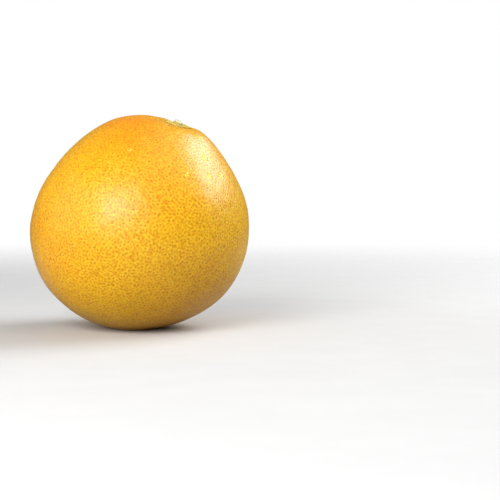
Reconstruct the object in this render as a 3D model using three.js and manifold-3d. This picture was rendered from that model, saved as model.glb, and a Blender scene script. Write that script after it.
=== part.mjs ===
// A whole pomelo as picked, resting on a small flat spot, with its stem end leaning to the right.
// Three pieces: the fruit, the five-lobed calyx in the pit at its stem end, and the cut stem stub.
// Millimetres, +Z up, +X to the right of the front view, -Y towards the viewer.
// The origin is under the middle of the fruit, on the surface that it rests on.

import * as THREE from "three";
import { mergeVertices } from "three/addons/utils/BufferGeometryUtils.js";
import Module from "manifold-3d";

// Driving dimensions of the fruit, in mm. Each radius is measured from the fruit's middle.
const BODY_RADIUS = 71.8;
const FOOT_DEPTH = 1.2; // how far the flat spot is cut up into the rounded base
const FACETS_PER_EDGE = 24; // of the icosahedron that the skin is spread over

// Where the stem end and the blossom end point, in degrees: lean from straight up, bearing round from +X.
const STEM_END = { lean: 21.8, bearing: -14 };
const PIT = { depth: 5.8, spread: 6.8 }; // the hollow that holds the calyx
const BLOSSOM_DIMPLE = { depth: 1.3, spread: 3.6 };
const FURROWS = { count: 7, depth: 0.75, at: 13, spread: 5.5, sharpness: 3, wander: 0.5 };

// Broad swells and flats of the body: height in mm, spread in degrees.
const SWELLS = [
  { lean: 3, bearing: 200, spread: 25, height: 3.3 }, // crown beside the stem end
  { lean: 30, bearing: -12, spread: 11.5, height: 4.6 }, // shoulder past the stem end
  { lean: 57, bearing: -8, spread: 20, height: -1.2 }, // flat on the right flank
  { lean: 54, bearing: 180, spread: 27, height: -4.2 }, // flat on the left flank
  { lean: 112, bearing: 180, spread: 36, height: 4.2 }, // low swell on the left
  { lean: 105, bearing: 0, spread: 34, height: 3.6 }, // low swell on the right
  { lean: 58, bearing: -95, spread: 26, height: -1.6 }, // flat on the front shoulder
  { lean: 55, bearing: 100, spread: 26, height: -2.4 }, // flat on the back shoulder
  { lean: 104, bearing: -85, spread: 42, height: 1.7 }, // swell at the front
  { lean: 100, bearing: 85, spread: 40, height: 1.4 }, // swell at the back
  { lean: 180, bearing: 0, spread: 30, height: -1.8 }, // flattened base
];

// Gentle unevenness of the skin: waves that cross the body at golden-angle bearings.
const WAVES = { count: 7, first: 6, step: 1.7, steepness: 1.5 };

// Oil glands, drawn larger than life so that the facets can carry them.
const GLAND_DEPTH = 0.5;
const GLANDS_START = 10; // degrees from the stem end
const GLANDS_ABOVE_FOOT = 2.2;
const FACET_JITTER = 0.16; // share of a facet's edge
const SEED = 20617;

// The calyx and the stem stub.
const CONTACT_GAP = 0.3;
const SEPALS = 5;
const CALYX = { notch: 5.8, tip: 9.4, fullness: 0.8, edge: 0.8 };
const MIDRIB = { height: 0.35, sharpness: 6 };
const SEAT = { radius: 4.1, height: 1.2, slope: 1.6 };
const CALYX_STEPS = { around: 50, out: 8 };
const STUB = { foot: 3.5, waist: 2.8, top: 3.0, height: 1.6, waistHeight: 0.9, bevel: 0.3 };
const STUB_CUT = { fallRight: 0.09, fallFront: 0.2 }; // slopes of the cut face
const STUB_SIDES = 30;
const STUB_RIDGES = { count: 5, share: 0.05 };

const UP = new THREE.Vector3(0, 0, 1);
const RIGHT = new THREE.Vector3(1, 0, 0);
const GOLDEN_ANGLE = Math.PI * (3 - Math.sqrt(5));
const ICOSAHEDRON_ARC = Math.atan(2); // between two neighbouring corners, seen from its middle

// A unit vector that leans from straight up towards a bearing.
function toward({ lean, bearing }) {
  const fromTop = THREE.MathUtils.degToRad(lean);
  const round = THREE.MathUtils.degToRad(bearing);
  const level = Math.sin(fromTop);
  return new THREE.Vector3(level * Math.cos(round), level * Math.sin(round), Math.cos(fromTop));
}

// A smooth hill of height 1 on the unit sphere, centred on a direction.
function hill(direction, centre, spread) {
  const width = THREE.MathUtils.degToRad(spread);
  return Math.exp((direction.dot(centre) - 1) / (width * width));
}

const stemAxis = toward(STEM_END);
const stemSide = new THREE.Vector3().crossVectors(stemAxis, RIGHT).normalize();
const stemFront = new THREE.Vector3().crossVectors(stemSide, stemAxis);
const blossomAxis = stemAxis.clone().negate();
const swells = SWELLS.map((swell) => ({ ...swell, centre: toward(swell) }));

const waves = Array.from({ length: WAVES.count }, (_, i) => {
  const height = 1 - (2 * (i + 0.5)) / WAVES.count;
  const level = Math.sqrt(1 - height * height);
  const round = GOLDEN_ANGLE * i;
  const number = WAVES.first + WAVES.step * i;
  return {
    vector: new THREE.Vector3(level * Math.cos(round), level * Math.sin(round), height),
    number,
    phase: GOLDEN_ANGLE * i * i,
    height: WAVES.steepness / number,
  };
});

// A wave round the stem end that peaks at 1 a number of times, with narrow peaks where it is sharp.
function petals(round, count, sharpness) {
  return Math.pow(0.5 + 0.5 * Math.cos(count * round), sharpness);
}

// Creases round the stem end: narrow valleys on a ring of the shoulder.
function furrow(direction) {
  const fromStem = THREE.MathUtils.radToDeg(direction.angleTo(stemAxis));
  const round = Math.atan2(direction.dot(stemSide), direction.dot(stemFront));
  const wandered = round + (FURROWS.wander / FURROWS.count) * Math.sin(2 * round);
  const valley = petals(wandered, FURROWS.count, FURROWS.sharpness);
  const ring = (fromStem - FURROWS.at) / FURROWS.spread;
  return FURROWS.depth * valley * Math.exp(-ring * ring);
}

// The fruit's radius along a direction, without its glands.
function bodyRadius(direction) {
  let radius = BODY_RADIUS;
  for (const swell of swells) radius += swell.height * hill(direction, swell.centre, swell.spread);
  for (const wave of waves) {
    radius += wave.height * Math.cos(wave.number * direction.dot(wave.vector) + wave.phase);
  }
  radius -= PIT.depth * hill(direction, stemAxis, PIT.spread);
  radius -= BLOSSOM_DIMPLE.depth * hill(direction, blossomAxis, BLOSSOM_DIMPLE.spread);
  return radius - furrow(direction);
}

// A repeatable stream of numbers from 0 to 1.
function randomStream(seed) {
  let state = seed;
  return () => {
    state = (state + 0x6d2b79f5) | 0;
    let mixed = Math.imul(state ^ (state >>> 15), state | 1);
    mixed ^= mixed + Math.imul(mixed ^ (mixed >>> 7), mixed | 61);
    return ((mixed ^ (mixed >>> 14)) >>> 0) / 4294967296;
  };
}

// The numbers of the vertices next to each vertex of an indexed mesh.
function neighboursOf(geometry) {
  const neighbours = Array.from({ length: geometry.attributes.position.count }, () => new Set());
  const corners = geometry.index.array;
  for (let face = 0; face < corners.length; face += 3) {
    for (let side = 0; side < 3; side++) {
      const from = corners[face + side];
      const to = corners[face + ((side + 1) % 3)];
      neighbours[from].add(to);
      neighbours[to].add(from);
    }
  }
  return neighbours;
}

// A gland sinks each vertex, taken in a random order, that has no sunk neighbour.
// None lies in the pit or beside the foot.
function glandVertices(geometry, directions, heightAboveFoot, random) {
  const neighbours = neighboursOf(geometry);
  const stemLimit = Math.cos(THREE.MathUtils.degToRad(GLANDS_START));
  const order = directions.map((direction, vertex) => ({ direction, vertex, turn: random() }));
  order.sort((a, b) => a.turn - b.turn);
  const sunk = new Set();
  for (const { direction, vertex } of order) {
    const allowed = direction.dot(stemAxis) < stemLimit && heightAboveFoot(direction) > GLANDS_ABOVE_FOOT;
    if (allowed && ![...neighbours[vertex]].some((next) => sunk.has(next))) sunk.add(vertex);
  }
  return sunk;
}

// A closed mesh with merged vertices as a solid for cutting.
function solidOf(wasm, geometry) {
  const { position } = geometry.attributes;
  return new wasm.Manifold(
    new wasm.Mesh({
      numProp: 3,
      vertProperties: Float32Array.from(position.array),
      triVerts: Uint32Array.from(geometry.index.array),
    }),
  );
}

function geometryOf(solid) {
  const mesh = solid.getMesh();
  const geometry = new THREE.BufferGeometry();
  geometry.setAttribute("position", new THREE.BufferAttribute(mesh.vertProperties, 3));
  geometry.setIndex(new THREE.BufferAttribute(mesh.triVerts, 1));
  geometry.computeVertexNormals();
  return geometry;
}

function positionsOnly(geometry) {
  geometry.deleteAttribute("normal");
  geometry.deleteAttribute("uv");
  return mergeVertices(geometry);
}

// The fruit: an icosahedral net spread over the body's form, dimpled with glands, with its foot cut flat.
function buildFruit(wasm) {
  const net = positionsOnly(new THREE.IcosahedronGeometry(1, FACETS_PER_EDGE - 1));
  const random = randomStream(SEED);
  const edge = ICOSAHEDRON_ARC / FACETS_PER_EDGE;
  const footHeight = FOOT_DEPTH - bodyRadius(UP.clone().negate());
  const directions = [];
  for (let i = 0; i < net.attributes.position.count; i++) {
    const nudge = new THREE.Vector3(random() - 0.5, random() - 0.5, random() - 0.5);
    const direction = new THREE.Vector3().fromBufferAttribute(net.attributes.position, i);
    directions.push(direction.addScaledVector(nudge, 2 * FACET_JITTER * edge).normalize());
  }
  const heightAboveFoot = (direction) => bodyRadius(direction) * direction.z - footHeight;
  const glands = glandVertices(net, directions, heightAboveFoot, random);
  directions.forEach((direction, i) => {
    const radius = bodyRadius(direction) - (glands.has(i) ? GLAND_DEPTH : 0);
    net.attributes.position.setXYZ(i, ...direction.clone().multiplyScalar(radius));
  });

  const slabSide = 2 * BODY_RADIUS;
  const slab = positionsOnly(new THREE.BoxGeometry(slabSide, slabSide, slabSide));
  slab.translate(0, 0, footHeight - slabSide / 2);
  return geometryOf(solidOf(wasm, net).subtract(solidOf(wasm, slab)));
}

// A direction at a distance in mm along the skin from the stem end.
function aroundStem(distance, round) {
  const bend = distance / BODY_RADIUS;
  return stemAxis
    .clone()
    .multiplyScalar(Math.cos(bend))
    .addScaledVector(stemFront, Math.sin(bend) * Math.cos(round))
    .addScaledVector(stemSide, Math.sin(bend) * Math.sin(round));
}

const seatLevel = bodyRadius(stemAxis) + CONTACT_GAP + SEAT.height;

// The calyx: a star of five broad sepals that lies on the pit, with a level seat for the stub.
function buildCalyx() {
  const { around, out } = CALYX_STEPS;
  const points = [];
  const put = (direction, radius) => {
    points.push(...direction.clone().multiplyScalar(radius));
    return points.length / 3 - 1;
  };
  const under = (direction) => bodyRadius(direction) + CONTACT_GAP;

  const over = (direction, distance, round, share) => {
    const toSeat = seatLevel / direction.dot(stemAxis);
    const midrib = MIDRIB.height * petals(round, SEPALS, MIDRIB.sharpness) * (1 - share);
    const blend = THREE.MathUtils.smoothstep(distance, SEAT.radius, SEAT.radius + SEAT.slope);
    return THREE.MathUtils.lerp(toSeat, under(direction) + CALYX.edge + midrib, blend);
  };

  const middleUnder = put(stemAxis, under(stemAxis));
  const middleOver = put(stemAxis, over(stemAxis, 0, 0, 0));
  const rows = { under: [], over: [] };
  for (let j = 1; j <= out; j++) {
    const share = j / out;
    rows.under.push([]);
    rows.over.push([]);
    for (let i = 0; i < around; i++) {
      const round = (2 * Math.PI * i) / around;
      const lobe = petals(round, SEPALS, CALYX.fullness);
      const distance = share * THREE.MathUtils.lerp(CALYX.notch, CALYX.tip, lobe);
      const direction = aroundStem(distance, round);
      rows.under[j - 1].push(put(direction, under(direction)));
      rows.over[j - 1].push(put(direction, over(direction, distance, round, share)));
    }
  }

  const faces = [];
  const strip = (inner, outer) => {
    for (let i = 0; i < around; i++) {
      const next = (i + 1) % around;
      faces.push(inner[i], outer[i], outer[next], inner[i], outer[next], inner[next]);
    }
  };
  for (let i = 0; i < around; i++) {
    const next = (i + 1) % around;
    faces.push(middleOver, rows.over[0][i], rows.over[0][next]);
    faces.push(middleUnder, rows.under[0][next], rows.under[0][i]);
  }
  for (let j = 1; j < out; j++) {
    strip(rows.over[j - 1], rows.over[j]);
    strip(rows.under[j], rows.under[j - 1]);
  }
  strip(rows.over[out - 1], rows.under[out - 1]);

  const geometry = new THREE.BufferGeometry();
  geometry.setAttribute("position", new THREE.Float32BufferAttribute(points, 3));
  geometry.setIndex(faces);
  geometry.computeVertexNormals();
  return geometry;
}

// The stem stub: a short ridged cylinder with a bevelled, slightly slanting cut.
function buildStub() {
  const { foot, waist, waistHeight, top, height, bevel } = STUB;
  const profile = [
    [0, 0],
    [foot - bevel, 0],
    [foot, bevel],
    [waist, waistHeight],
    [top, height - bevel],
    [top - bevel, height],
    [0, height],
  ].map(([radius, level]) => new THREE.Vector2(radius, level));
  const geometry = positionsOnly(new THREE.LatheGeometry(profile, STUB_SIDES));
  geometry.rotateX(Math.PI / 2);
  const { position } = geometry.attributes;
  for (let i = 0; i < position.count; i++) {
    const [x, y, z] = [position.getX(i), position.getY(i), position.getZ(i)];
    const ridge = 1 + STUB_RIDGES.share * Math.cos(STUB_RIDGES.count * Math.atan2(y, x));
    const rise = STUB_CUT.fallFront * y - STUB_CUT.fallRight * x;
    position.setXYZ(i, x * ridge, y * ridge, z + (rise * z) / height);
  }
  geometry.computeVertexNormals();
  return geometry;
}

function piece(name, geometry, colour, roughness) {
  const material = new THREE.MeshStandardMaterial({ color: colour, roughness, metalness: 0 });
  const mesh = new THREE.Mesh(geometry, material);
  mesh.name = name;
  return mesh;
}

const wasm = await Module();
wasm.setup();

const fruit = piece("fruit", buildFruit(wasm), 0xf3b52e, 0.42);
const calyx = piece("calyx", buildCalyx(), 0xa9a548, 0.7);
const stub = piece("stem_stub", buildStub(), 0xd8c48a, 0.85);
stub.position.copy(stemAxis).multiplyScalar(seatLevel + CONTACT_GAP);
stub.quaternion.setFromUnitVectors(UP, stemAxis);

fruit.geometry.computeBoundingBox();
const { min, max } = fruit.geometry.boundingBox;
const pomelo = new THREE.Group();
pomelo.add(fruit, calyx, stub);
pomelo.position.set(-(min.x + max.x) / 2, -(min.y + max.y) / 2, -min.z);

export default pomelo;
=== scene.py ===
"""A whole pomelo as picked, with its pitted rind, its calyx and its cut stem stub, in soft studio light.

Everything is in metres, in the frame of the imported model. The fruit's form is one formula, the same that
its solid follows, so each fine piece lies where the solid that it stands for lies.
"""

import logging
import math
from collections.abc import Sequence
from dataclasses import dataclass, field
from enum import Enum
from functools import cached_property

import bpy
import numpy as np
from bpy.types import ID, Material, Mesh, Node, NodeSocket as Socket, NodeTree, Object
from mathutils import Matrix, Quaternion, Vector
from mathutils.geometry import delaunay_2d_cdt


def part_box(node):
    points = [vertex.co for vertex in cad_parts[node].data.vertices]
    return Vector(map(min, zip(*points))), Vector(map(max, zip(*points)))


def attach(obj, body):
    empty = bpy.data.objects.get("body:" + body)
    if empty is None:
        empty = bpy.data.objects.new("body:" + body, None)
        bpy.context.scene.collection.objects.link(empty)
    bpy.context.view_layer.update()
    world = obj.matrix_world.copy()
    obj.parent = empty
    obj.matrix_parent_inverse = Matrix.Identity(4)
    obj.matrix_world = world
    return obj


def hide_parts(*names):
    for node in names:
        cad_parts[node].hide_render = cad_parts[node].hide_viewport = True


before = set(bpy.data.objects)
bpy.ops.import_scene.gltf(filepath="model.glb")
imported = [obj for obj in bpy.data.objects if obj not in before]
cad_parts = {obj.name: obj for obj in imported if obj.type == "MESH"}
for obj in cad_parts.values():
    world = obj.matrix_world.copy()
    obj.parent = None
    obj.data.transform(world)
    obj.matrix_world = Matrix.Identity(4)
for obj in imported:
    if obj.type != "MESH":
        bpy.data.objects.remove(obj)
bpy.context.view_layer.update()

MM = 0.001
BODY = "root"
GOLDEN_ANGLE = math.pi * (3 - math.sqrt(5))
DOWN = np.array([0.0, 0.0, -1.0])

Array = np.ndarray
Colour = tuple[float, float, float]
Span = tuple[float, float]
Feeds = dict[int | str, object]

log = logging.getLogger("pomelo")


def heading(lean: float, bearing: float) -> Array:
    """Points a unit vector, by its lean from straight up and its bearing round from +X, in degrees."""
    tilt, turn = math.radians(lean), math.radians(bearing)
    return np.array([math.sin(tilt) * math.cos(turn), math.sin(tilt) * math.sin(turn), math.cos(tilt)])


def peaks(turn: Array, count: int, sharpness: float) -> Array:
    """Makes a wave from 0 to 1 with count peaks round a circle, narrow where sharpness is above 1."""
    return (0.5 + 0.5 * np.cos(count * turn)) ** sharpness


def ease(value: Array | float, start: float, end: float) -> Array:
    """Rises smoothly from 0 at start to 1 at end, which may lie below start."""
    share = np.clip((value - start) / (end - start), 0, 1)
    return share * share * (3 - 2 * share)


def even_directions(count: int) -> Array:
    """Spreads directions evenly over a sphere, along a spiral.

    Args:
        count: How many there are.

    Returns:
        Unit vectors, one in each row.
    """
    place = np.arange(count)
    height = 1 - 2 * (place + 0.5) / count
    level = np.sqrt(1 - height * height)
    turn = GOLDEN_ANGLE * place
    return ring_points(turn, level, height)


def ring_points(turn: Array, radius: Array | float, level: Array | float) -> Array:
    """Gives points round the Z axis, at these angles, distances and levels, one in each row."""
    return np.stack(np.broadcast_arrays(radius * np.cos(turn), radius * np.sin(turn), level), axis=1)


def round_angles(count: int) -> Array:
    """Spaces angles evenly round a circle, in radians."""
    return np.linspace(0, 2 * math.pi, count, endpoint=False)


def unit(vectors: Array) -> Array:
    """Brings each row to a length of 1."""
    return vectors / np.linalg.norm(vectors, axis=1)[:, None]


@dataclass(frozen=True)
class Patch:
    """A soft round patch of the fruit: a swell, a hollow or a tint."""

    lean: float
    bearing: float
    spread: float
    amount: float

    def weight(self, directions: Array) -> Array:
        """Weighs the patch along each direction, a unit vector from the fruit's middle."""
        width = math.radians(self.spread)
        return self.amount * np.exp((directions @ heading(self.lean, self.bearing) - 1) / width**2)


@dataclass(frozen=True)
class FruitForm:
    """The shape of the fruit without its glands, as a distance from its middle along each direction."""

    body_radius: float = 71.8 * MM
    foot_depth: float = 1.2 * MM
    stem_lean: float = 21.8
    stem_bearing: float = -14.0
    pit_depth: float = 5.8 * MM
    pit_spread: float = 6.8
    blossom_depth: float = 1.3 * MM
    blossom_spread: float = 3.6
    furrow_count: int = 7
    furrow_depth: float = 0.75 * MM
    furrow_at: float = 13.0
    furrow_spread: float = 5.5
    furrow_sharpness: float = 3.0
    furrow_wander: float = 0.5
    wave_count: int = 7
    wave_first: float = 6.0
    wave_step: float = 1.7
    wave_steepness: float = 1.5 * MM
    swells: tuple[Patch, ...] = (
        Patch(3, 200, 25, 3.3 * MM),
        Patch(30, -12, 11.5, 4.6 * MM),
        Patch(57, -8, 20, -1.2 * MM),
        Patch(54, 180, 27, -4.2 * MM),
        Patch(112, 180, 36, 4.2 * MM),
        Patch(105, 0, 34, 3.6 * MM),
        Patch(58, -95, 26, -1.6 * MM),
        Patch(55, 100, 26, -2.4 * MM),
        Patch(104, -85, 42, 1.7 * MM),
        Patch(100, 85, 40, 1.4 * MM),
        Patch(180, 0, 30, -1.8 * MM),
    )
    outline_samples: int = 40000
    least_fall: float = 1e-6
    near_vertical: float = 0.9

    @property
    def stem_axis(self) -> Array:
        """Where the stem end points."""
        return heading(self.stem_lean, self.stem_bearing)

    @property
    def stem_side(self) -> Array:
        """A unit vector square to the stem axis, towards the back."""
        return unit(np.cross(self.stem_axis, [[1.0, 0.0, 0.0]]))[0]

    @property
    def stem_front(self) -> Array:
        """A unit vector square to the stem axis, towards the right."""
        return np.cross(self.stem_side, self.stem_axis)

    @property
    def stem_radius(self) -> float:
        """How far the skin lies from the fruit's middle at the stem end."""
        return float(self.radius(self.stem_axis[None])[0])

    @property
    def foot_level(self) -> float:
        """Height of the flat spot against the fruit's middle."""
        return self.foot_depth - float(self.round_radius(DOWN[None])[0])

    @cached_property
    def middle(self) -> Array:
        """Where the fruit's middle lies: the outline is centred, and the flat spot is at height zero."""
        directions = even_directions(self.outline_samples)
        skin = directions * self.round_radius(directions)[:, None]
        centre = (skin.min(axis=0) + skin.max(axis=0)) / 2
        return np.array([-centre[0], -centre[1], -self.foot_level])

    def waves(self, directions: Array) -> Array:
        """Adds up the gentle waves of the skin along each direction."""
        total = np.zeros(len(directions))
        for i, vector in enumerate(even_directions(self.wave_count)):
            number = self.wave_first + self.wave_step * i
            phase = GOLDEN_ANGLE * i * i
            total += self.wave_steepness / number * np.cos(number * (directions @ vector) + phase)
        return total

    def stem_angle(self, directions: Array) -> Array:
        """Degrees between each direction and the stem end."""
        return np.degrees(np.arccos(np.clip(directions @ self.stem_axis, -1, 1)))

    def furrows(self, directions: Array) -> Array:
        """Depth of the creases that run out from the stem pit, along each direction."""
        turn = np.arctan2(directions @ self.stem_side, directions @ self.stem_front)
        turn = turn + self.furrow_wander / self.furrow_count * np.sin(2 * turn)
        ring = (self.stem_angle(directions) - self.furrow_at) / self.furrow_spread
        valley = peaks(turn, self.furrow_count, self.furrow_sharpness)
        return self.furrow_depth * valley * np.exp(-ring * ring)

    def round_radius(self, directions: Array) -> Array:
        """Gives the distance of the skin from the fruit's middle, before the flat spot is cut.

        Args:
            directions: Unit vectors, one in each row.

        Returns:
            The distance along each of them.
        """
        pit = Patch(self.stem_lean, self.stem_bearing, self.pit_spread, self.pit_depth)
        lean, bearing = 180 - self.stem_lean, 180 + self.stem_bearing
        dimple = Patch(lean, bearing, self.blossom_spread, self.blossom_depth)
        radius = self.body_radius + sum(swell.weight(directions) for swell in self.swells)
        radius = radius + self.waves(directions) - pit.weight(directions) - dimple.weight(directions)
        return radius - self.furrows(directions)

    def radius(self, directions: Array) -> Array:
        """Gives the distance of the skin along each direction, with the flat spot cut."""
        fall = np.minimum(directions[:, 2], -self.least_fall)
        return np.minimum(self.round_radius(directions), self.foot_level / fall)

    def place(self, directions: Array, lift: Array | float = 0.0) -> Array:
        """Puts a point on the skin along each direction, or lift above it, in the frame."""
        return self.middle + directions * (self.radius(directions) + lift)[:, None]

    def normals(self, directions: Array, step: float = 0.004) -> Array:
        """Finds which way the skin faces.

        Args:
            directions: Unit vectors from the fruit's middle, one in each row.
            step: How far apart, in radians, the skin is sampled.

        Returns:
            A unit vector for each direction.
        """
        level = np.abs(directions[:, 2:]) < self.near_vertical
        helper = np.where(level, [[0.0, 0.0, 1.0]], [[1.0, 0.0, 0.0]])
        east = unit(np.cross(helper, directions))
        slopes = []
        for side in (east, np.cross(directions, east)):
            moved = [unit(directions + way * side) for way in (-step, step)]
            start, end = (ends * self.radius(ends)[:, None] for ends in moved)
            slopes.append(end - start)
        return unit(np.cross(*slopes))

    def near_stem(self, distance: Array, turn: Array) -> Array:
        """Finds directions round the stem end.

        Args:
            distance: How far each lies from the stem end, measured along the skin.
            turn: Its angle round the stem end, in radians.

        Returns:
            Unit vectors, one in each row.
        """
        bend = (distance / self.body_radius)[:, None]
        out = np.cos(turn)[:, None] * self.stem_front + np.sin(turn)[:, None] * self.stem_side
        return np.cos(bend) * self.stem_axis + np.sin(bend) * out


def new_object(name: str, data: ID) -> Object:
    """Puts a new object in the scene."""
    item = bpy.data.objects.new(name, data)
    bpy.context.scene.collection.objects.link(item)
    return item


class Canvas:
    """Adds nodes to one tree and joins them."""

    def __init__(self, tree: NodeTree) -> None:
        """Starts on a tree, which may hold nodes already."""
        self.tree = tree

    def add(self, kind: str, feeds: Feeds | None = None, **settings: object) -> Node:
        """Adds one node.

        Args:
            kind: The node's class.
            feeds: What each input takes, a socket of another node or a plain value.
            settings: The node's own options.

        Returns:
            The new node.
        """
        node = self.tree.nodes.new(kind)
        for option, value in settings.items():
            setattr(node, option, value)
        for key, value in (feeds or {}).items():
            if isinstance(value, Socket):
                self.tree.links.new(value, node.inputs[key])
            else:
                node.inputs[key].default_value = value
        return node

    def out(self, kind: str, feeds: Feeds | None = None, **settings: object) -> Socket:
        """Adds one node, as add does, and gives its first output."""
        return self.add(kind, feeds, **settings).outputs[0]

    def sockets(self, direction: str, kinds: dict[str, str]) -> None:
        """Adds the tree's own INPUT or OUTPUT sockets, each with its name and kind."""
        for label, kind in kinds.items():
            self.tree.interface.new_socket(label, in_out=direction, socket_type="NodeSocket" + kind)

    def math(self, operation: str, *values: Socket | float) -> Socket:
        """Works out one number from the values, by the Math node's operation."""
        return self.out("ShaderNodeMath", dict(enumerate(values)), operation=operation)

    def ramp(self, value: Socket, low: Socket | float, high: Socket | float, to_low: float = 0.0,
             to_high: float = 1.0) -> Socket:
        """Stretches the range from low to high over that from to_low to to_high, with smooth ends."""
        feeds = {"Value": value, "From Min": low, "From Max": high, "To Min": to_low, "To Max": to_high}
        return self.out("ShaderNodeMapRange", feeds, interpolation_type="SMOOTHSTEP")

    def blend(self, share: Socket | float, first: Socket | Colour, second: Socket | Colour,
              mode: str = "MIX") -> Socket:
        """Mixes two colours, with this share of the second, by the Mix node's mode."""
        ends = [colour if isinstance(colour, Socket) else (*colour, 1.0) for colour in (first, second)]
        feeds = {0: share, 6: ends[0], 7: ends[1]}
        return self.add("ShaderNodeMix", feeds, data_type="RGBA", blend_type=mode).outputs[2]

    def attribute(self, name: str) -> Socket:
        """Reads a number that the mesh carries at each point."""
        return self.add("ShaderNodeAttribute", attribute_name=name).outputs["Fac"]


class Growth(Canvas):
    """A Geometry Nodes tree with named inputs, which ends in Realize Instances and Set Material."""

    kinds = {float: "Float", int: "Int", Object: "Object"}

    def __init__(self, name: str, inputs: dict[str, float | int | Object]) -> None:
        """Starts the tree.

        Args:
            name: The tree's name.
            inputs: The name of each input and its value.
        """
        super().__init__(bpy.data.node_groups.new(name, "GeometryNodeTree"))
        self.inputs = inputs
        kinds = {label: self.kinds[type(value)] for label, value in inputs.items()}
        self.sockets("INPUT", {"Geometry": "Geometry", **kinds, "Material": "Material"})
        self.sockets("OUTPUT", {"Geometry": "Geometry"})
        self.given = self.add("NodeGroupInput").outputs

    def read(self, name: str, kind: str = "FLOAT") -> Socket:
        """Reads what the mesh carries under a name."""
        return self.out("GeometryNodeInputNamedAttribute", {"Name": name}, data_type=kind)

    def store(self, geometry: Socket, name: str, value: Socket | float, where: Socket | bool = True,
              domain: str = "POINT") -> Socket:
        """Stores a number on the points or faces of the mesh that are chosen, and gives the mesh."""
        feeds = {"Geometry": geometry, "Selection": where, "Name": name, "Value": value}
        return self.out("GeometryNodeStoreNamedAttribute", feeds, data_type="FLOAT", domain=domain)

    def close(self, geometry: Socket) -> None:
        """Ends the tree with this geometry."""
        real = self.out("GeometryNodeRealizeInstances", {"Geometry": geometry})
        feeds = {"Geometry": real, "Material": self.given["Material"]}
        self.add("NodeGroupOutput", {"Geometry": self.out("GeometryNodeSetMaterial", feeds)})

    def grow(self, start: Mesh) -> Mesh:
        """Runs the tree on a mesh.

        Args:
            start: The mesh that the tree is given.

        Returns:
            The result, as a plain mesh of its own.
        """
        carrier = new_object(self.tree.name, start)
        modifier = carrier.modifiers.new(self.tree.name, "NODES")
        modifier.node_group = self.tree
        for item in self.tree.interface.items_tree:
            if item.in_out == "INPUT" and item.name in self.inputs:
                modifier[item.identifier] = self.inputs[item.name]
        evaluated = carrier.evaluated_get(bpy.context.evaluated_depsgraph_get())
        mesh = bpy.data.meshes.new_from_object(evaluated)
        carrier.modifiers.remove(modifier)
        bpy.data.objects.remove(carrier)
        return mesh


class Effect(Canvas):
    """A shader node group with a Vector input, number inputs and one number out."""

    def __init__(self, name: str, output: str, *inputs: str) -> None:
        """Starts the group.

        Args:
            name: The group's name.
            output: The name of its output.
            inputs: The names of its number inputs.
        """
        super().__init__(bpy.data.node_groups.new(name, "ShaderNodeTree"))
        self.sockets("INPUT", {"Vector": "Vector", **dict.fromkeys(inputs, "Float")})
        self.sockets("OUTPUT", {output: "Float"})
        self.given = self.add("NodeGroupInput").outputs

    def close(self, value: Socket) -> NodeTree:
        """Ends the group with this number."""
        self.add("NodeGroupOutput", {0: value})
        return self.tree


class Effects:
    """The shader node groups, each of which is placed more than once."""

    fine_ratio = 5.3
    mottle_range = (0.32, 0.68)
    grit_detail = 3.0
    fleck_warp = 0.6 * MM
    fleck_core = 0.5

    @classmethod
    def mottle(cls) -> NodeTree:
        """Makes soft blotches of two sizes, from 0 to 1, as ripe skin and dry wood have."""
        group = Effect("mottle", "Mottle", "Scale", "Fine")
        place, scale = group.given["Vector"], group.given["Scale"]
        sizes = (scale, group.math("MULTIPLY", scale, cls.fine_ratio))
        blotches = [group.out("ShaderNodeTexNoise", {"Vector": place, "Scale": size}) for size in sizes]
        mixed = group.out("ShaderNodeMix", {0: group.given["Fine"], 2: blotches[0], 3: blotches[1]})
        return group.close(group.ramp(mixed, *cls.mottle_range))

    @classmethod
    def grit(cls) -> NodeTree:
        """Makes a fine uneven height, for the bump of waxy skin, dry leaf and bark."""
        group = Effect("grit", "Height", "Scale", "Cells")
        feeds = {"Vector": group.given["Vector"], "Scale": group.given["Scale"]}
        cells = group.out("ShaderNodeTexVoronoi", feeds, feature="SMOOTH_F1")
        noise = group.out("ShaderNodeTexNoise", {**feeds, "Detail": cls.grit_detail})
        return group.close(group.out("ShaderNodeMix", {0: group.given["Cells"], 2: noise, 3: cells}))

    @classmethod
    def flecks(cls) -> NodeTree:
        """Makes scattered small round specks, 1 inside and 0 between them."""
        group = Effect("flecks", "Fleck", "Scale", "Size")
        place, scale, size = group.given["Vector"], group.given["Scale"], group.given["Size"]
        warp = group.add("ShaderNodeTexNoise", {"Vector": place, "Scale": scale}).outputs["Color"]
        moved = group.out("ShaderNodeVectorMath", {0: warp, "Scale": cls.fleck_warp}, operation="SCALE")
        vector = group.out("ShaderNodeVectorMath", {0: place, 1: moved})
        cells = group.add("ShaderNodeTexVoronoi", {"Vector": vector, "Scale": scale})
        core = group.math("MULTIPLY", size, cls.fleck_core)
        return group.close(group.ramp(cells.outputs["Distance"], size, core))


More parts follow.
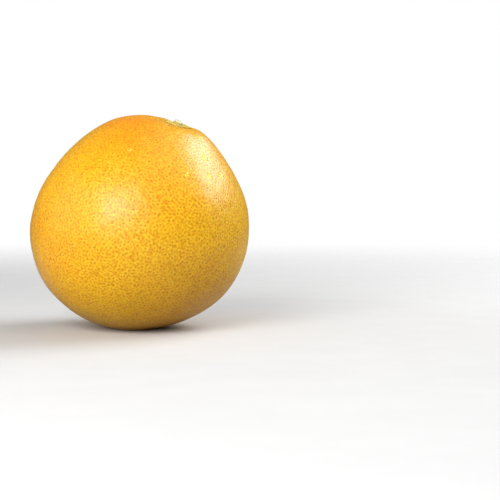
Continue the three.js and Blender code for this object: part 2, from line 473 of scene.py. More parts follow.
class Paint(Canvas):
    """A material's own tree, with its Principled shader and its object coordinates."""

    def __init__(self, name: str, plain: dict[str, object]) -> None:
        """Starts a material.

        Args:
            name: The material's name.
            plain: The values that are the same all over it, set on the shader's own sockets.
        """
        self.material = bpy.data.materials.new(name)
        self.material.use_nodes = True
        super().__init__(self.material.node_tree)
        self.shader = self.tree.nodes["Principled BSDF"]
        for label, value in plain.items():
            self.shader.inputs[label].default_value = value
        self.place = self.add("ShaderNodeTexCoord").outputs["Object"]

    def effect(self, name: str, **values: float) -> Socket:
        """Places a shared group with these number inputs, made the first time that it is asked for."""
        tree = bpy.data.node_groups.get(name) or getattr(Effects, name)()
        return self.out("ShaderNodeGroup", {"Vector": self.place, **values}, node_tree=tree)

    def finish(self, height: Socket, depth: float, inputs: dict[str, Socket]) -> Material:
        """Joins the surface to the shader.

        Args:
            height: The bump's height, from 0 to 1.
            depth: What a height of 1 is in metres.
            inputs: What each of the shader's other inputs takes.

        Returns:
            The material.
        """
        normal = self.out("ShaderNodeBump", {"Height": height, "Distance": depth})
        for label, socket in {**inputs, "Normal": normal}.items():
            self.tree.links.new(socket, self.shader.inputs[label])
        return self.material


class Tint(Enum):
    """The colours that come and go over the rind; some of their patches are painted shade."""

    BLUSH = "blush"
    OLIVE = "olive"


@dataclass(frozen=True)
class RindFinish:
    """Waxy citrus rind: golden yellow, with an orange blush, an olive tint and darker oil glands; the
    orange and olive low on the front right are painted shade.
    """

    gold: Colour = (0.94, 0.48, 0.003)
    pale: Colour = (1.0, 0.66, 0.02)
    orange: Colour = (0.97, 0.34, 0.005)
    olive: Colour = (0.62, 0.34, 0.001)
    oil: Colour = (0.69, 0.54, 0.05)
    cork: Colour = (0.16, 0.085, 0.035)
    pale_share: float = 0.8
    tint_swing: Span = (0.7, 1.1)
    pit_edge: float = 0.3
    least_richness: float = 0.5
    young_share: float = 0.45
    faint_share: float = 0.6
    scar_ragged: float = 0.8 * MM
    scar_edge: Span = (1.3, 0.8)
    russet_share: float = 0.35
    roughness: float = 0.32
    uneven: float = 0.1
    cork_roughness: float = 0.4
    wax: float = 0.5
    pit_wax_loss: float = 0.25
    grit_depth: float = 0.03 * MM

    def material(self, scar: Array, scar_radius: float) -> Material:
        """Builds the rind's material.

        Args:
            scar: The middle of the blossom scar.
            scar_radius: How far the scar reaches.

        Returns:
            The material.
        """
        paint = Paint("rind", {
            "Specular IOR Level": 0.25,
            "Coat Roughness": 0.37,
            "Coat IOR": 1.5,
            "Subsurface Weight": 0.15,
            "Subsurface Scale": 2.0 * MM,
            "Subsurface Radius": (1.0, 0.45, 0.1),
        })
        broad = paint.effect("mottle", Scale=34.0, Fine=0.3)
        fine = paint.effect("mottle", Scale=620.0, Fine=0.12)
        colour = paint.blend(paint.math("MULTIPLY", fine, self.pale_share), self.gold, self.pale)
        # blush and olive tints; the patches low on the front right and under the right highlight are
        # painted shade
        swing = self.tint_swing
        for tint, hue, ends in ((Tint.BLUSH, self.orange, swing), (Tint.OLIVE, self.olive, swing[::-1])):
            spread = paint.ramp(broad, 0.0, 1.0, *ends)
            amount = paint.math("MULTIPLY", paint.attribute(tint.value), spread)
            colour = paint.blend(paint.math("MINIMUM", amount, 1.0), colour, hue)

        pit = paint.ramp(paint.attribute("gland"), self.pit_edge, 1.0)
        richness = paint.ramp(paint.attribute("tone"), 0.0, 1.0, self.least_richness, 1.0)
        young = paint.math("MULTIPLY", paint.effect("flecks", Scale=620.0, Size=0.34), self.young_share)
        faint = paint.math("MAXIMUM", young, paint.ramp(fine, self.faint_share, 0.0, 0.0, self.faint_share))
        pit = paint.math("MAXIMUM", paint.math("MULTIPLY", pit, richness), faint)
        colour = paint.blend(pit, colour, paint.blend(1.0, colour, self.oil, "MULTIPLY"))

        away = paint.add("ShaderNodeVectorMath", {0: paint.place, 1: Vector(scar)}, operation="DISTANCE")
        ragged = paint.math("MULTIPLY_ADD", fine, self.scar_ragged, away.outputs["Value"])
        cork = paint.ramp(ragged, *(edge * scar_radius for edge in self.scar_edge))
        colour = paint.blend(cork, colour, self.cork)
        russet = paint.math("MULTIPLY", paint.effect("flecks", Scale=55.0, Size=0.07), self.russet_share)
        colour = paint.blend(russet, colour, self.cork)

        roughness = paint.math("MULTIPLY_ADD", fine, self.uneven, self.roughness)
        return paint.finish(paint.effect("grit", Scale=1150.0, Cells=0.4), self.grit_depth, {
            "Base Color": colour,
            "Roughness": paint.math("MULTIPLY_ADD", cork, self.cork_roughness, roughness),
            "Coat Weight": paint.math("MULTIPLY_ADD", pit, -self.pit_wax_loss * self.wax, self.wax),
        })


@dataclass(frozen=True)
class CalyxFinish:
    """Dry sepals: olive gold, browner at their edges, with painted shade in darker brown along their
    creases.
    """

    green: Colour = (0.62, 0.50, 0.08)
    straw: Colour = (0.90, 0.61, 0.08)
    brown: Colour = (0.44, 0.34, 0.09)
    rim_from: float = 0.8
    rim_share: float = 0.5
    crease_shade_share: float = 0.7
    roughness: float = 0.62
    uneven: float = 0.15
    grit_depth: float = 0.12 * MM

    def material(self) -> Material:
        """Builds the calyx's material."""
        paint = Paint("calyx", {"Specular IOR Level": 0.35})
        mottle = paint.effect("mottle", Scale=380.0, Fine=0.45)
        colour = paint.blend(mottle, self.green, self.straw)
        rim = paint.ramp(paint.attribute("reach"), self.rim_from, 1.0, 0.0, self.rim_share)
        # the brown rim at the sepals' edges, then painted shade along the creases
        for share in (rim, paint.math("MULTIPLY", paint.attribute("crease"), self.crease_shade_share)):
            colour = paint.blend(share, colour, self.brown)
        return paint.finish(paint.effect("grit", Scale=2600.0, Cells=0.3), self.grit_depth, {
            "Base Color": colour,
            "Roughness": paint.math("MULTIPLY_ADD", mottle, self.uneven, self.roughness),
        })


@dataclass(frozen=True)
class StemFinish:
    """Cut woody stem: olive bark, a green rim under it, and a cream face with rings and a brown pith."""

    bark: Colour = (0.36, 0.32, 0.09)
    tan: Colour = (0.62, 0.47, 0.19)
    green: Colour = (0.26, 0.36, 0.06)
    cream: Colour = (0.83, 0.74, 0.46)
    pith: Colour = (0.45, 0.33, 0.16)
    ring_count: float = 5.0
    ring_share: float = 0.3
    pith_edge: Span = (0.2, 0.1)
    rim_edge: Span = (0.74, 0.84)
    roughness: float = 0.7
    uneven: float = 0.15
    grit_depth: float = 0.15 * MM

    def material(self) -> Material:
        """Builds the stem's material."""
        paint = Paint("stem", {"Specular IOR Level": 0.3})
        mottle = paint.effect("mottle", Scale=420.0, Fine=0.5)
        bark = paint.blend(mottle, self.bark, self.tan)
        radius = paint.attribute("radius")
        wave = paint.math("SINE", paint.math("MULTIPLY", radius, self.ring_count * 2 * math.pi))
        face = paint.blend(paint.ramp(wave, -1.0, 1.0, 0.0, self.ring_share), self.cream, self.tan)
        for edge, hue in ((self.pith_edge, self.pith), (self.rim_edge, self.green)):
            face = paint.blend(paint.ramp(radius, *edge), face, hue)
        return paint.finish(paint.effect("grit", Scale=2200.0, Cells=0.2), self.grit_depth, {
            "Base Color": paint.blend(paint.attribute("cut"), bark, face),
            "Roughness": paint.math("MULTIPLY_ADD", mottle, self.uneven, self.roughness),
        })


@dataclass(frozen=True)
class WaterFinish:
    """Water tinted darker than clear, as painted shade on the rind that shows through it."""

    # both colours darken the rind seen through the drops: painted shade
    clear: Colour = (0.88, 0.88, 0.76)
    shade_tint: Colour = (0.80, 0.80, 0.60)
    refraction: float = 1.33
    roughness: float = 0.12
    uneven: float = 0.08
    ripple_depth: float = 0.01 * MM

    def material(self) -> Material:
        """Builds the water's material."""
        paint = Paint("water", {"Transmission Weight": 1.0, "IOR": self.refraction})
        shadow = paint.add("ShaderNodeLightPath").outputs["Is Shadow Ray"]
        ripple = paint.effect("mottle", Scale=500.0, Fine=0.2)
        return paint.finish(ripple, self.ripple_depth, {
            "Base Color": paint.blend(ripple, self.clear, self.shade_tint),
            "Roughness": paint.math("MULTIPLY_ADD", ripple, self.uneven, self.roughness),
            "Alpha": paint.math("SUBTRACT", 1.0, shadow),
        })


@dataclass(frozen=True)
class FloorFinish:
    """A matt pale table top that fades into the backdrop and throws only part of the light back."""

    pale: Colour = (0.72, 0.72, 0.72)
    shade: Colour = (0.69, 0.69, 0.69)
    bounce: Colour = (0.40, 0.40, 0.40)
    roughness: float = 0.8
    uneven: float = 0.1
    grain_depth: float = 0.05 * MM

    def material(self, fade: Span) -> Material:
        """Builds the floor's material.

        Args:
            fade: How far from the middle it starts to fade, and where it is gone.

        Returns:
            The material.
        """
        paint = Paint("floor", {"Specular IOR Level": 0.2})
        away = paint.add("ShaderNodeVectorMath", {0: paint.place}, operation="LENGTH").outputs["Value"]
        mottle = paint.effect("mottle", Scale=6.0, Fine=0.4)
        seen = paint.add("ShaderNodeLightPath").outputs["Is Camera Ray"]
        return paint.finish(mottle, self.grain_depth, {
            "Base Color": paint.blend(seen, self.bounce, paint.blend(mottle, self.pale, self.shade)),
            "Roughness": paint.math("MULTIPLY_ADD", mottle, self.uneven, self.roughness),
            "Alpha": paint.ramp(away, fade[1], fade[0]),
        })


def new_mesh(name: str, points: Array, faces: Sequence[Sequence[int]]) -> Mesh:
    """Makes a mesh from points and faces.

    Args:
        name: The mesh's name.
        points: The points, one in each row.
        faces: The numbers of each face's points.

    Returns:
        The mesh.
    """
    mesh = bpy.data.meshes.new(name)
    mesh.from_pydata(points.tolist(), [], faces)
    mesh.update()
    return mesh


def read_points(mesh: Mesh) -> Array:
    """Gives a mesh's points, one in each row."""
    flat = np.empty(3 * len(mesh.vertices))
    mesh.vertices.foreach_get("co", flat)
    return flat.reshape(-1, 3)


def write_number(mesh: Mesh, name: str, values: Array) -> None:
    """Stores one number for each point of a mesh, under a name."""
    attribute = mesh.attributes.new(name, "FLOAT", "POINT")
    attribute.data.foreach_set("value", np.asarray(values, dtype=np.float32))


def read_number(mesh: Mesh, name: str) -> Array:
    """Gives the number that each point of a mesh carries."""
    values = np.empty(len(mesh.vertices), dtype=np.float32)
    mesh.attributes[name].data.foreach_get("value", values)
    return values


def as_piece(name: str, mesh: Mesh, material: Material) -> Object:
    """Puts a finished mesh in the scene, smooth, in one material, and riding on the fruit's body.

    Args:
        name: The piece's name.
        mesh: Its mesh, in place.
        material: Its material.

    Returns:
        The piece.
    """
    mesh.materials.clear()
    mesh.materials.append(material)
    mesh.shade_smooth()
    piece = new_object(name, mesh)
    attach(piece, BODY)
    return piece


def disc_faces(rows: int, around: int) -> list[tuple[int, ...]]:
    """Joins the points of a closed sheet whose rows run from one middle point to another.

    Args:
        rows: How many rows lie between the two middle points, which are numbered first and last.
        around: How many points each row has.

    Returns:
        The numbers of each face's points.
    """
    found: list[tuple[int, ...]] = []
    last = 1 + rows * around
    for i in range(around):
        following = (i + 1) % around
        found.append((0, 1 + i, 1 + following))
        found.append((last, last - around + following, last - around + i))
        for inner in range(1, last - around, around):
            outer = inner + around
            found.append((inner + i, outer + i, outer + following, inner + following))
    return found


@dataclass
class Rind:
    """The fruit's skin: one closed mesh with a pit for each oil gland."""

    form: FruitForm
    finish: RindFinish = RindFinish()
    gland_spacing: float = 1.66 * MM
    tries_per_area: float = 0.6e6
    flat_tolerance: float = 1e-9
    site_seed: int = 7
    pit_share: float = 0.24
    pit_uneven: float = 0.14
    pit_depth: float = 0.15 * MM
    depth_swing: Span = (0.6, 1.4)
    ripple_count: int = 36
    ripple_height: float = 0.01 * MM
    ripple_numbers: Span = (28.0, 75.0)
    inset: float = 0.06 * MM
    weld: float = 0.001 * MM
    scar_radius: float = 2.1 * MM
    tints: dict[Tint, tuple[Patch, ...]] = field(default_factory=lambda: {
        Tint.BLUSH: (
            Patch(24, -100, 16, 0.8),
            Patch(62, -72, 16, 0.35),
            Patch(95, -150, 26, 0.35),
            Patch(60, 60, 30, 0.6),
            Patch(120, 110, 28, 0.4),
            Patch(70, -125, 30, 0.12),
            # painted shade: a deeper orange where the right highlight falls, to tone the highlight down
            Patch(45, -40, 22, 0.15),
            # painted shade: the lower front right more orange, as rind in shade looks
            Patch(138, -50, 22, 0.45),
        ),
        Tint.OLIVE: (
            # painted shade: the lower front right darker olive, where the fruit lies in shade
            Patch(142, -50, 24, 0.7),
            Patch(21.8, -14, 9, 0.3),
            Patch(100, 170, 24, 0.35),
        ),
    })

    def sites(self) -> Array:
        """Scatters the glands evenly over a sphere.

        Returns:
            A unit vector towards each gland.
        """
        tree = Growth("gland sites", {
            "Radius": self.form.body_radius,
            "Spacing": self.gland_spacing,
            "Crowding": self.tries_per_area,
            "Seed": self.site_seed,
        })
        ball = tree.out("GeometryNodeMeshIcoSphere", {"Radius": tree.given["Radius"], "Subdivisions": 6})
        dots = tree.out("GeometryNodeDistributePointsOnFaces", {
            "Mesh": ball,
            "Distance Min": tree.given["Spacing"],
            "Density Max": tree.given["Crowding"],
            "Seed": tree.given["Seed"],
        }, distribute_method="POISSON")
        tree.close(tree.out("GeometryNodePointsToVertices", {"Points": dots}))
        return unit(read_points(tree.grow(bpy.data.meshes.new("start"))))

    def net(self, sites: Array) -> Mesh:
        """Joins the glands to their neighbours in one closed net of triangles.

        The sphere is laid out flat from its lowest point, where circles stay circles, so triangles that are
        even on the plane are even on the sphere. One more gland at the lowest point closes the net.

        Args:
            sites: A unit vector towards each gland.

        Returns:
            The net, as large as the fruit's body.
        """
        clear = math.cos(self.gland_spacing / self.form.body_radius)
        sites = sites[sites @ DOWN < clear]
        flat = sites[:, :2] / (1 + sites[:, 2:])
        joined = delaunay_2d_cdt([Vector(point) for point in flat], [], [], 0, self.flat_tolerance)
        source = [origins[0] for origins in joined[3]]
        triangles = [tuple(source[corner] for corner in face) for face in joined[2]]
        sides = {(face[k], face[(k + 1) % 3]) for face in triangles for k in range(3)}
        last = len(sites)
        triangles += [(end, start, last) for start, end in sides if (end, start) not in sides]
        return new_mesh("net", np.vstack([sites, DOWN]) * self.form.body_radius, triangles)

    def pits(self, net: Mesh) -> Mesh:
        """Makes a cell round each gland and sinks a pit in its middle.

        Args:
            net: The net that joins the glands.

        Returns:
            The cells with their pits, with the numbers gland and tone at each point: gland is 0 between the
            glands and 1 at the bottom of a pit, and tone is the gland's own random number.
        """
        tree = Growth("gland pits", {
            "Pit Share": self.pit_share,
            "Uneven": self.pit_uneven,
            "Seed": self.site_seed,
        })
        shape = tree.out("GeometryNodeDualMesh", {0: tree.given["Geometry"]})
        draw = tree.add("FunctionNodeRandomValue", {"Seed": tree.given["Seed"]}, data_type="FLOAT")
        shape = tree.store(shape, "tone", draw.outputs[1], domain="FACE")
        shape = tree.store(shape, "gland", 0.0)
        cut = tree.add("GeometryNodeExtrudeMesh", {"Mesh": shape, "Offset Scale": 0.0, "Individual": True},
                       mode="FACES")
        tone = tree.read("tone")
        swing = tree.math("MULTIPLY", tree.math("SUBTRACT", tone, 0.5), tree.given["Uneven"])
        shape = tree.out("GeometryNodeScaleElements", {
            "Geometry": cut.outputs["Mesh"],
            "Selection": cut.outputs["Top"],
            "Scale": tree.math("ADD", swing, tree.given["Pit Share"]),
        })
        shape = tree.store(shape, "gland", 1.0, cut.outputs["Top"])
        shape = tree.store(shape, "tone", tone)
        tree.close(tree.out("GeometryNodeMergeByDistance", {"Geometry": shape, "Distance": self.weld}))
        return tree.grow(net)

    def ripples(self, directions: Array) -> Array:
        """Adds up the small unevenness of the skin between and under the glands."""
        total = np.zeros(len(directions))
        low, high = self.ripple_numbers
        for i, vector in enumerate(even_directions(self.ripple_count)):
            number = low + (high - low) * ((i * GOLDEN_ANGLE) % 1)
            total += np.cos(number * (directions @ vector) + i * i)
        return self.ripple_height * total

    def build(self) -> Object:
        """Builds the rind.

        Returns:
            The piece that stands for the fruit's solid.
        """
        mesh = self.pits(self.net(self.sites()))
        directions = unit(read_points(mesh))
        gland, tone = read_number(mesh, "gland"), read_number(mesh, "tone")
        scar_axis = -self.form.stem_axis
        scar_reach = np.arccos(np.clip(directions @ scar_axis, -1, 1)) * self.form.body_radius
        pitted = ease(scar_reach, self.scar_radius, 2 * self.scar_radius)
        shallow, deep = self.depth_swing
        sink = self.pit_depth * (shallow + (deep - shallow) * tone) * gland * pitted
        lift = self.ripples(directions) - sink - self.inset
        placed = np.clip(self.form.place(directions, lift), *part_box("fruit"))
        mesh.vertices.foreach_set("co", placed.ravel())
        mesh.update()
        for tint, patches in self.tints.items():
            amount = sum(patch.weight(directions) for patch in patches)
            write_number(mesh, tint.value, np.clip(amount, 0, 1))
        scar = self.form.place(scar_axis[None])[0]
        piece = as_piece("rind", mesh, self.finish.material(scar, self.scar_radius))
        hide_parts("fruit")
        return piece


@dataclass
class Calyx:
    """The star of dry sepals in the stem pit."""

    form: FruitForm
    finish: CalyxFinish = CalyxFinish()
    sepals: int = 5
    notch: float = 5.8 * MM
    tip: float = 9.4 * MM
    fullness: float = 0.8
    frays: tuple[tuple[float, int, float], ...] = ((0.012, 23, 1.0), (0.01, 41, 0.0))
    thickness: float = 0.8 * MM
    midrib: float = 0.35 * MM
    midrib_sharpness: float = 6.0
    seat_radius: float = 4.1 * MM
    seat_height: float = 1.2 * MM
    seat_slope: float = 1.6 * MM
    gap: float = 0.3 * MM
    root: float = 0.5 * MM
    wrinkles: int = 37
    wrinkle_height: float = 0.12 * MM
    wrinkle_bends: int = 3
    wrinkle_wander: float = 2.5
    wrinkle_drift: float = 4.0
    wrinkled: Span = (0.15, 0.6)
    thinned: Span = (0.55, 1.0)
    margin_thickness: float = 0.3 * MM
    steps: int = 26
    around: int = 220

    @property
    def seat_level(self) -> float:
        """How far the stem's seat lies from the fruit's middle."""
        return self.form.stem_radius + self.gap + self.seat_height

    def row(self, share: float) -> tuple[Array, Array, Array]:
        """Finds one ring of the calyx.

        Args:
            share: How far out it lies, from 0 at the middle to 1 at the sepals' edge.

        Returns:
            The directions, the distances from the stem axis, and the angles round it.
        """
        turn = round_angles(self.around)
        lobe = peaks(turn, self.sepals, self.fullness)
        fray = sum(depth * np.cos(count * turn + phase) for depth, count, phase in self.frays)
        distance = share * (self.notch + (self.tip - self.notch) * lobe) * (1 + fray * share)
        return self.form.near_stem(distance, turn), distance, turn

    def upper(self, share: float) -> tuple[Array, Array]:
        """Finds the top of the calyx along one ring.

        Args:
            share: How far out the ring lies, from 0 to 1.

        Returns:
            The points against the fruit's middle, and how deep in a crease each lies, from 0 to 1.
        """
        directions, distance, turn = self.row(share)
        to_seat = self.seat_level / (directions @ self.form.stem_axis)
        rib = self.midrib * peaks(turn, self.sepals, self.midrib_sharpness) * (1 - share)
        bends = self.wrinkle_wander * np.sin(self.wrinkle_bends * turn)
        wave = np.cos(self.wrinkles * turn + bends + self.wrinkle_drift * share)
        wrinkle = self.wrinkle_height * wave * ease(share, *self.wrinkled)
        thinning = ease(share, *self.thinned)
        thickness = self.thickness + (self.margin_thickness - self.thickness) * thinning
        leaf = self.form.radius(directions) + self.gap + thickness + rib + wrinkle
        blend = ease(distance, self.seat_radius, self.seat_radius + self.seat_slope)
        crease = (0.5 - 0.5 * wave) * blend
        return directions * (to_seat + (leaf - to_seat) * blend)[:, None], crease

    def build(self) -> Object:
        """Builds the calyx.

        Returns:
            The piece that stands for its solid.
        """
        shares = np.arange(1, self.steps + 1) / self.steps
        axis = self.form.stem_axis
        rows, creases = [axis[None] * self.seat_level], [np.zeros(1)]
        for share in shares:
            points, crease = self.upper(share)
            rows.append(points)
            creases.append(crease)
        for share in shares[::-1]:
            directions = self.row(share)[0]
            rows.append(directions * (self.form.radius(directions) - self.root * (1 - share))[:, None])
        rows.append(axis[None] * (self.form.stem_radius - self.root))
        creases.append(np.zeros(self.steps * self.around + 1))
        reach = np.repeat([*shares, *shares[::-1]], self.around)
        faces = disc_faces(2 * self.steps, self.around)
        mesh = new_mesh("calyx", np.vstack(rows) + self.form.middle, faces)
        write_number(mesh, "crease", np.concatenate(creases))
        write_number(mesh, "reach", np.concatenate([[0.0], reach, [0.0]]))
        piece = as_piece("calyx_sepals", mesh, self.finish.material())
        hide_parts("calyx")
        return piece


@dataclass
class StemStub:
    """The short woody stump of the stem, with a bark and a slanting cut face."""

    form: FruitForm
    seat_level: float
    finish: StemFinish = StemFinish()
    foot: float = 3.5 * MM
    waist: float = 2.8 * MM
    top: float = 3.0 * MM
    height: float = 1.6 * MM
    waist_height: float = 0.9 * MM
    waist_slope: float = 1.4
    waist_curve: float = 1.6
    bevel: float = 0.3 * MM
    bevel_round: float = 0.3
    gap: float = 0.3 * MM
    root: float = 0.6 * MM
    fall_right: float = 0.09
    fall_front: float = 0.2
    ridge_count: int = 5
    ridge_share: float = 0.05
    bark_height: float = 0.06 * MM
    grain: tuple[int, int] = (19, 31)
    grain_wander: float = 3.0
    grain_twist: float = 0.9 / MM
    fine_grain: float = 0.6
    face_rim: Span = (0.8, 0.95)
    face_hollow: float = 0.25 * MM
    around: int = 120
    side_steps: int = 14
    face_steps: int = 12

    def profile(self) -> list[tuple[float, float, float]]:
        """Traces the stub's outline from its foot to the middle of its cut face.

        Returns:
            The radius, the level and the share that is cut face, row by row.
        """
        rows = [(self.foot, -self.root, 0.0)]
        for step in range(self.side_steps + 1):
            level = step / self.side_steps * (self.height - self.bevel)
            below = level < self.waist_height
            bulge, reach = (self.foot, self.waist_height) if below else (self.top, self.height)
            away = min(self.waist_slope * abs(level - self.waist_height) / reach, 1.0)
            rows.append((self.waist + (bulge - self.waist) * away**self.waist_curve, level, 0.0))
        corner = self.bevel_round * self.bevel
        rows.append((self.top - corner, self.height - corner, 0.0))
        rows.append((self.top - self.bevel, self.height, 0.0))
        for step in range(1, self.face_steps):
            share = 1 - step / self.face_steps
            hollow = self.face_hollow * (1 - float(ease(share, *self.face_rim)))
            rows.append(((self.top - self.bevel) * share, self.height - hollow, 1.0))
        return rows

    def bark(self, turn: Array, level: float) -> Array:
        """Gives the bark's unevenness round one row, a coarse winding grain with a finer one on it."""
        coarse, fine = self.grain
        winding = coarse * turn + self.grain_wander * np.sin(2 * turn) + self.grain_twist * level
        return np.cos(winding) + self.fine_grain * np.cos(fine * turn)

    def build(self) -> Object:
        """Builds the stub.

        Returns:
            The piece that stands for its solid.
        """
        profile, turn = self.profile(), round_angles(self.around)
        ridge = 1 + self.ridge_share * np.cos(self.ridge_count * turn)
        points, cut, radii = [np.array([[0.0, 0.0, -self.root]])], [0.0], [0.0]
        for radius, level, share in profile:
            rough = radius * ridge + (1 - share) * self.bark_height * self.bark(turn, level)
            row = ring_points(turn, rough, level)
            rise = self.fall_front * row[:, 1] - self.fall_right * row[:, 0]
            row[:, 2] += rise * max(level, 0.0) / self.height
            points.append(row)
            cut += [share] * self.around
            radii += [radius / self.top] * self.around
        points.append(np.array([[0.0, 0.0, self.height - self.face_hollow]]))
        cut.append(1.0)
        radii.append(0.0)
        turned = Vector((0, 0, 1)).rotation_difference(Vector(self.form.stem_axis)).to_matrix()
        seat = self.form.middle + self.form.stem_axis * (self.seat_level + self.gap)
        placed = np.vstack(points) @ np.array(turned).T + seat
        faces = [face[::-1] for face in disc_faces(len(profile), self.around)]
        mesh = new_mesh("stub", placed, faces)
        write_number(mesh, "cut", np.array(cut))
        write_number(mesh, "radius", np.array(radii))
        piece = as_piece("stem_cut", mesh, self.finish.material())
        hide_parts("stem_stub")
        return piece


@dataclass(frozen=True)
class Drop:
    """One drop of water on the rind."""

    lean: float
    bearing: float
    width: float


@dataclass
class WaterDrops:
    """The few drops of water that cling to the rind."""

    form: FruitForm
    finish: WaterFinish = WaterFinish()
    seen: tuple[Drop, ...] = (
        Drop(51, -36, 5.2 * MM),
        Drop(62, -29, 5.4 * MM),
        Drop(62, -40, 4.2 * MM),
        Drop(61, -57, 3.6 * MM),
        Drop(44, -93, 3.6 * MM),
        Drop(98, -82, 3.2 * MM),
        Drop(98, -121, 4.0 * MM),
        Drop(80, -89, 2.8 * MM),
        Drop(127, -55, 2.8 * MM),
    )
    others: int = 15
    other_heights: Span = (-0.3, 0.9)
    other_bearings: Span = (15.0, 165.0)
    other_widths: Span = (1.6 * MM, 3.0 * MM)
    seed: int = 5
    height_share: float = 0.2
    sunk_share: float = 0.06
    base_share: float = 0.9
    rings: int = 7
    around: int = 20

    def all_drops(self) -> list[Drop]:
        """Lists the drops that the front view shows, then the random ones on the other sides."""
        draw = np.random.default_rng(self.seed)
        drops = list(self.seen)
        for _ in range(self.others):
            lean = math.degrees(math.acos(draw.uniform(*self.other_heights)))
            bearing, width = draw.uniform(*self.other_bearings), draw.uniform(*self.other_widths)
            drops.append(Drop(lean, bearing, width))
        return drops

    def lens(self) -> Object:
        """Shapes one drop 1 m wide, a low dome with a closed base, standing along +Z."""
        half, turn = 0.5, round_angles(self.around)
        rows = [np.array([[0.0, 0.0, self.height_share]])]
        bend = (half**2 + self.height_share**2) / (2 * self.height_share)
        for ring in range(1, self.rings + 1):
            radius = half * ring / self.rings
            level = math.sqrt(bend**2 - radius**2) + self.height_share - bend
            rows.append(ring_points(turn, radius, level))
        rows.append(rows[-1] * [self.base_share, self.base_share, 1.0] - [0.0, 0.0, self.sunk_share])
        rows.append(np.array([[0.0, 0.0, -self.sunk_share]]))
        mesh = new_mesh("lens", np.vstack(rows), disc_faces(self.rings + 1, self.around))
        mesh.shade_smooth()
        return bpy.data.objects.new("lens", mesh)

    def build(self) -> Object:
        """Builds the drops.

        Returns:
            One piece that holds them all.
        """
        drops = self.all_drops()
        directions = np.array([heading(drop.lean, drop.bearing) for drop in drops])
        start = new_mesh("drop sites", self.form.place(directions), [])
        normals = start.attributes.new("facing", "FLOAT_VECTOR", "POINT")
        normals.data.foreach_set("vector", self.form.normals(directions).ravel())
        write_number(start, "width", np.array([drop.width for drop in drops]))

        lens_object = self.lens()
        tree = Growth("water drops", {"Drop": lens_object, "Swell": 1.0})
        lens = tree.add("GeometryNodeObjectInfo", {"Object": tree.given["Drop"]}).outputs["Geometry"]
        facing = {"Vector": tree.read("facing", "FLOAT_VECTOR")}
        tree.close(tree.out("GeometryNodeInstanceOnPoints", {
            "Points": tree.given["Geometry"],
            "Instance": lens,
            "Rotation": tree.out("FunctionNodeAlignRotationToVector", facing, axis="Z"),
            "Scale": tree.math("MULTIPLY", tree.read("width"), tree.given["Swell"]),
        }))
        mesh = tree.grow(start)
        bpy.data.objects.remove(lens_object)
        return as_piece("water_drops", mesh, self.finish.material())


@dataclass(frozen=True)
class SoftBox:
    """A soft rectangular studio light."""

    name: str
    lean: float
    bearing: float
    distance: float
    width: float
    height: float
    radiance: float
    roll: float = 0.0

    def place(self, target: Vector) -> None:
        """Hangs the light and turns it to what it lights.

        Args:
            target: The point that it faces.
        """
        light = bpy.data.lights.new(self.name, "AREA")
        light.shape = "RECTANGLE"
        light.size, light.size_y = self.width, self.height
        light.energy = self.radiance * math.pi * self.width * self.height
        holder = new_object(self.name, light)
        toward = Vector(heading(self.lean, self.bearing))
        holder.location = target + self.distance * toward
        roll = Quaternion((0, 0, 1), math.radians(self.roll))
        holder.rotation_euler = (toward.to_track_quat("Z", "Y") @ roll).to_euler()
        holder.visible_camera = False


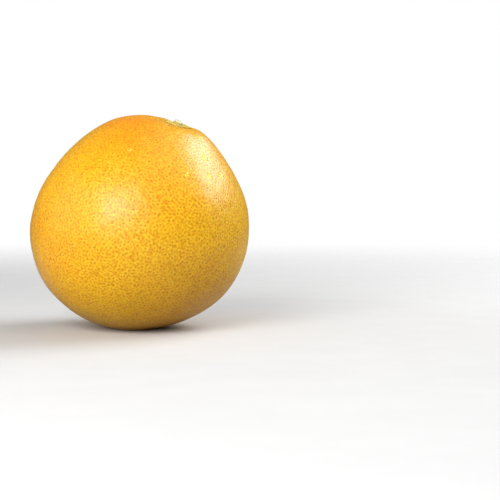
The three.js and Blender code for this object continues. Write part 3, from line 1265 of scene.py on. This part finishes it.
@dataclass
class Studio:
    """The floor, the lights and the camera at the photograph's viewing angle."""

    aim: tuple[float, float, float] = (75.0 * MM, 0.0, 53.6 * MM)
    camera_distance: float = 1.0
    camera_rise: float = 4.0
    field_width: float = 341.7 * MM
    sensor_width: float = 36.0
    floor_radius: float = 1.0
    floor_rings: int = 24
    floor_sides: int = 96
    floor_fade: Span = (0.25, 0.95)
    sky: float = 0.15
    backdrop: float = 1.0
    boxes: tuple[SoftBox, ...] = (
        SoftBox("key", 66, -112, 1.1, 0.66, 0.74, 7.0),
        SoftBox("side", 53, 24, 1.1, 0.90, 0.48, 7.4, 30),
        SoftBox("front", 55, -100, 1.8, 2.0, 1.6, 0.68),
        SoftBox("top", 28, -10, 1.5, 1.3, 1.3, 0.8),
        SoftBox("left", 72, -165, 1.5, 1.4, 1.2, 0.9),
    )
    finish: FloorFinish = FloorFinish()

    def build_camera(self) -> None:
        """Sets up the camera, without shift or depth of field."""
        data = bpy.data.cameras.new("camera")
        data.sensor_width = self.sensor_width
        data.lens = self.sensor_width * self.camera_distance / self.field_width
        camera = new_object("camera", data)
        rise = math.radians(self.camera_rise)
        back = Vector((0, -math.cos(rise), math.sin(rise)))
        camera.location = Vector(self.aim) + self.camera_distance * back
        camera.rotation_euler = back.to_track_quat("Z", "Y").to_euler()
        bpy.context.scene.camera = camera

    def build_floor(self) -> None:
        """Lays the floor, a wide round sheet at the height of the flat spot."""
        turn, rows = round_angles(self.floor_sides), [np.zeros((1, 3))]
        for ring in range(1, self.floor_rings + 1):
            rows.append(ring_points(turn, self.floor_radius * (ring / self.floor_rings) ** 2, 0.0))
        points = np.vstack(rows)
        closed = disc_faces(self.floor_rings + 1, self.floor_sides)
        faces = [face for face in closed if max(face) < len(points)]
        floor = new_object("floor", new_mesh("floor", points, faces))
        floor.data.materials.append(self.finish.material(self.floor_fade))

    def build_sky(self) -> None:
        """Fills the room with even light, and shows a white backdrop behind the fruit."""
        world = bpy.data.worlds.new("room")
        world.use_nodes = True
        canvas = Canvas(world.node_tree)
        background = world.node_tree.nodes["Background"]
        seen = canvas.add("ShaderNodeLightPath").outputs["Is Camera Ray"]
        strength = canvas.out("ShaderNodeMix", {0: seen, 2: self.sky, 3: self.backdrop})
        background.inputs["Color"].default_value = (1.0, 1.0, 1.0, 1.0)
        world.node_tree.links.new(strength, background.inputs["Strength"])
        bpy.context.scene.world = world

    def build(self) -> None:
        """Builds the studio."""
        scene = bpy.context.scene
        scene.view_settings.view_transform = "Standard"
        self.build_camera()
        self.build_floor()
        self.build_sky()
        low, high = (Vector(corner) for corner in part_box("fruit"))
        for box in self.boxes:
            box.place((low + high) / 2)


def main() -> None:
    """Builds the studio and the pomelo's pieces, and reports each piece."""
    logging.basicConfig(level=logging.INFO, format="%(name)s: %(message)s")
    Studio().build()
    form = FruitForm()
    calyx = Calyx(form)
    stub = StemStub(form, calyx.seat_level)
    for part in (Rind(form), calyx, stub, WaterDrops(form)):
        piece = part.build()
        piece.data.calc_loop_triangles()
        log.info("%s: %d triangles", piece.name, len(piece.data.loop_triangles))


if __name__ == "__main__":
    main()
